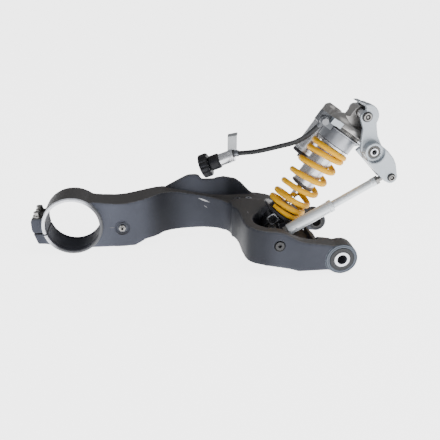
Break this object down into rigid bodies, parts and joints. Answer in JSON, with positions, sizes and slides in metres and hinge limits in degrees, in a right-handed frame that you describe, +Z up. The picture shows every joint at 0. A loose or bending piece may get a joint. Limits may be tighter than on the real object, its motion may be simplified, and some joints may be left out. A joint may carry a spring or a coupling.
{
  "type": "motorcycle rear suspension",
  "caption": "Single-sided swingarm with a coil-over shock absorber, rocker, tie rod and a hose-linked hydraulic spring preload adjuster.",
  "frame": {"origin": "on the swingarm's pivot axis, halfway between the outer faces of the two pivot lugs", "axes": "+X to the front of the motorcycle, +Y to its left, the side of the hub, the chain and the brake, +Z up"},
  "size_m": [0.7233, 0.2474, 0.3269],
  "materials": {
    "cast_arm": "satin",
    "machined": "turned",
    "bright_alloy": "polished",
    "grey_alloy": "satin",
    "dome_alloy": "polished",
    "dark_cast": "cast",
    "steel": "plain",
    "chrome_rod": "ground",
    "spring_paint": "gloss",
    "black_alloy": "anodised",
    "black_plastic": "moulded",
    "rubber": "plain",
    "foam": "cellular",
    "bronze": "sintered",
    "bearing_steel": "ground"
  },
  "bodies": {
    "swingarm": {"swingarm_casting": "cast_arm", "pinch_bolts": "steel", "pinch_washers": "steel", "near_pivot_bearing": "bearing_steel", "far_pivot_bearing": "bearing_steel", "near_pivot_seal": "rubber", "far_pivot_seal": "rubber", "guide_stud": "steel", "guide_washer": "steel", "guide_nut": "steel", "foot_bolt": "steel", "foot_nut": "steel", "foot_spacer_near": "machined", "foot_spacer_middle": "machined", "foot_spacer_far": "machined", "lower_ball": "bearing_steel"},
    "pivot_sleeves": {"near_pivot_sleeve": "machined", "far_pivot_sleeve": "machined"},
    "shock_lower": {"lower_clevis": "black_alloy", "lower_bush": "bronze", "lower_spring_seat": "black_alloy", "rod_locknut": "steel", "damper_rod": "chrome_rod", "bump_stop": "foam", "damper_piston": "bronze", "coil_spring": "spring_paint"},
    "rebound_adjuster": {"rebound_knob": "black_alloy"},
    "shock_body": {"gland": "dark_cast", "damper_tube": "machined", "preload_cylinder": "grey_alloy", "ribbed_ring": "grey_alloy", "head_casting": "dome_alloy", "upper_bush": "bronze", "reservoir_tube": "machined", "reservoir_cap": "black_alloy", "gas_valve": "steel", "inlet_block": "dark_cast", "banjo_fitting": "dark_cast", "banjo_bolt": "steel", "retainer_clip": "bright_alloy", "preload_hose": "rubber"},
    "spring_preload": {"preload_piston": "machined"},
    "gas_separator": {"floating_piston": "machined"},
    "compression_adjuster": {"compression_knob": "black_alloy"},
    "tie_rod": {"lower_rod_end": "steel", "lower_locknut": "steel", "tie_rod_tube": "bright_alloy", "tie_rod_shaft": "bright_alloy", "upper_locknut": "steel", "upper_rod_end": "steel", "upper_ball": "bearing_steel"},
    "rocker": {"rocker_casting": "bright_alloy", "rocker_bearings": "bearing_steel", "rocker_bolts": "steel", "rocker_nuts": "steel", "rocker_spacers": "machined"},
    "rocker_axle_sleeve": {"rocker_sleeve": "machined"},
    "preload_adjuster": {"adjuster_body": "black_plastic", "adjuster_barrel": "machined"},
    "preload_knob": {"adjuster_knob": "black_alloy"}
  },
  "joints": [
    {"name": "shock_swing", "type": "hinge", "parent": "swingarm", "child": "shock_lower", "pos_m": [-0.126, -0.016, 0.036], "axis": [0, -1, 0], "range_deg": [0, 13.1]},
    {"name": "shock_stroke", "type": "slide", "parent": "shock_lower", "child": "shock_body", "axis": [0.5751, 0, 0.8181], "range_m": [-0.046, 0], "stiffness_N_per_m": 85000, "springref_m": 0.01, "deforming": ["coil_spring"]},
    {"name": "rocker_swing", "type": "hinge", "parent": "shock_body", "child": "rocker", "pos_m": [0.0395, -0.016, 0.2714], "axis": [0, -1, 0], "range_deg": [0, 19.3]},
    {"name": "rod_swing", "type": "hinge", "parent": "swingarm", "child": "tie_rod", "pos_m": [-0.126, -0.07, 0.036], "axis": [0, -1, 0], "range_deg": [0, 9.1]},
    {"name": "floating_piston_slide", "type": "slide", "parent": "shock_body", "child": "gas_separator", "axis": [0.5751, 0, 0.8181], "range_m": [-0.0095, 0]},
    {"name": "hose_flex", "type": "hinge", "parent": "shock_body", "child": "preload_adjuster", "pos_m": [-0.0361, -0.043, 0.2613], "axis": [0.613, 0.7901, 0], "range_deg": [0, 24], "deforming": ["preload_hose"]},
    {"name": "preload_knob_turn", "type": "hinge", "parent": "preload_adjuster", "child": "preload_knob", "pos_m": [-0.247, 0.106, 0.132], "axis": [0.9004, -0.2052, 0.3835], "range_deg": [0, 1440]},
    {"name": "preload_slide", "type": "slide", "parent": "shock_body", "child": "spring_preload", "axis": [0.5751, 0, 0.8181], "range_m": [0, 0.0042]},
    {"name": "rebound_knob_turn", "type": "hinge", "parent": "shock_lower", "child": "rebound_adjuster", "pos_m": [-0.12725, -0.044, 0.06377], "axis": [0, -1, 0], "range_deg": [0, 720]},
    {"name": "compression_knob_turn", "type": "hinge", "parent": "shock_body", "child": "compression_adjuster", "pos_m": [0.01612, 0.046, 0.26858], "axis": [0.5751, 0, 0.8181], "range_deg": [0, 720]},
    {"name": "pivot_sleeve_turn", "type": "hinge", "parent": "swingarm", "child": "pivot_sleeves", "pos_m": [0, 0, 0], "axis": [0, 1, 0], "continuous": true},
    {"name": "rocker_sleeve_turn", "type": "hinge", "parent": "rocker", "child": "rocker_axle_sleeve", "pos_m": [0.0539, -0.02, 0.2076], "axis": [0, 1, 0], "continuous": true}
  ],
  "couplings": [
    {"joint": "shock_swing", "follows": "shock_stroke", "rad_per_m": -4.93},
    {"joint": "rocker_swing", "follows": "shock_stroke", "rad_per_m": -7.2456},
    {"joint": "rod_swing", "follows": "shock_stroke", "rad_per_m": -3.378},
    {"joint": "floating_piston_slide", "follows": "shock_stroke", "ratio": 0.195},
    {"joint": "hose_flex", "follows": "shock_stroke", "rad_per_m": -9},
    {"joint": "preload_slide", "follows": "preload_knob_turn", "m_per_rad": 0.00015915}
  ]
}
